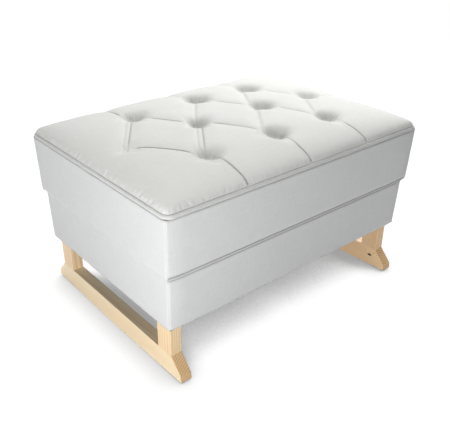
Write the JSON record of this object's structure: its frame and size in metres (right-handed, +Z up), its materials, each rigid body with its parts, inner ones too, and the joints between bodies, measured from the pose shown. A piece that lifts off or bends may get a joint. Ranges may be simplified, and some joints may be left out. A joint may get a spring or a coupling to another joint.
{
  "type": "rocking footstool",
  "caption": "Upholstered box footstool with a deep-buttoned cushion seat, on two pale timber rockers that let it rock fore and aft.",
  "frame": {"origin": "on the floor under the middle of the stool, where both rockers stand", "axes": "+X along the long side to the right, +Y to the back, along the rockers, +Z up"},
  "size_m": [0.601, 0.435, 0.368],
  "materials": {
    "cushion_cloth": "matt, fine linen weave",
    "wall_cloth": "matt, fine linen weave",
    "piping_cloth": "matt, fine weave cut on the bias",
    "bottom_cloth": "matt, thin non-woven cloth",
    "twine": "matt, waxed",
    "foam": "matt, open cells",
    "light_timber": "satin, clear lacquer",
    "dowel_timber": "bare, fluted by a mill",
    "frame_timber": "bare, planed",
    "board": "bare, sanded",
    "steel": "zinc plated",
    "toggle_plastic": "satin"
  },
  "bodies": {
    "root": {"back_band": "wall_cloth", "back_bottom_rail": "frame_timber", "back_left_corner_piping": "piping_cloth", "back_left_post": "light_timber", "back_lower_cover": "wall_cloth", "back_right_corner_piping": "piping_cloth", "back_right_post": "light_timber", "back_seat_rail": "frame_timber", "back_skin": "board", "back_step_piping": "piping_cloth", "deck_screws": "steel", "dust_cover": "bottom_cloth", "dust_cover_staples": "steel", "end_rail_screws": "steel", "foam_pad": "foam", "front_band": "wall_cloth", "front_bottom_rail": "frame_timber", "front_left_corner_piping": "piping_cloth", "front_left_post": "light_timber", "front_lower_cover": "wall_cloth", "front_right_corner_piping": "piping_cloth", "front_right_post": "light_timber", "front_seat_rail": "frame_timber", "front_skin": "board", "front_step_piping": "piping_cloth", "left_bearer": "frame_timber", "left_bottom_rail": "frame_timber", "left_end_cover": "wall_cloth", "left_runner": "light_timber", "left_seat_rail": "frame_timber", "left_skin": "board", "rail_dowels": "dowel_timber", "right_bearer": "frame_timber", "right_bottom_rail": "frame_timber", "right_end_cover": "wall_cloth", "right_runner": "light_timber", "right_seat_rail": "frame_timber", "right_skin": "board", "runner_dowels": "dowel_timber", "seat_deck": "board", "seat_rail_screws": "steel", "top_piping": "piping_cloth", "tuft_toggles": "toggle_plastic", "tuft_twines": "twine", "tufted_cover": "cushion_cloth"}
  },
  "joints": []
}
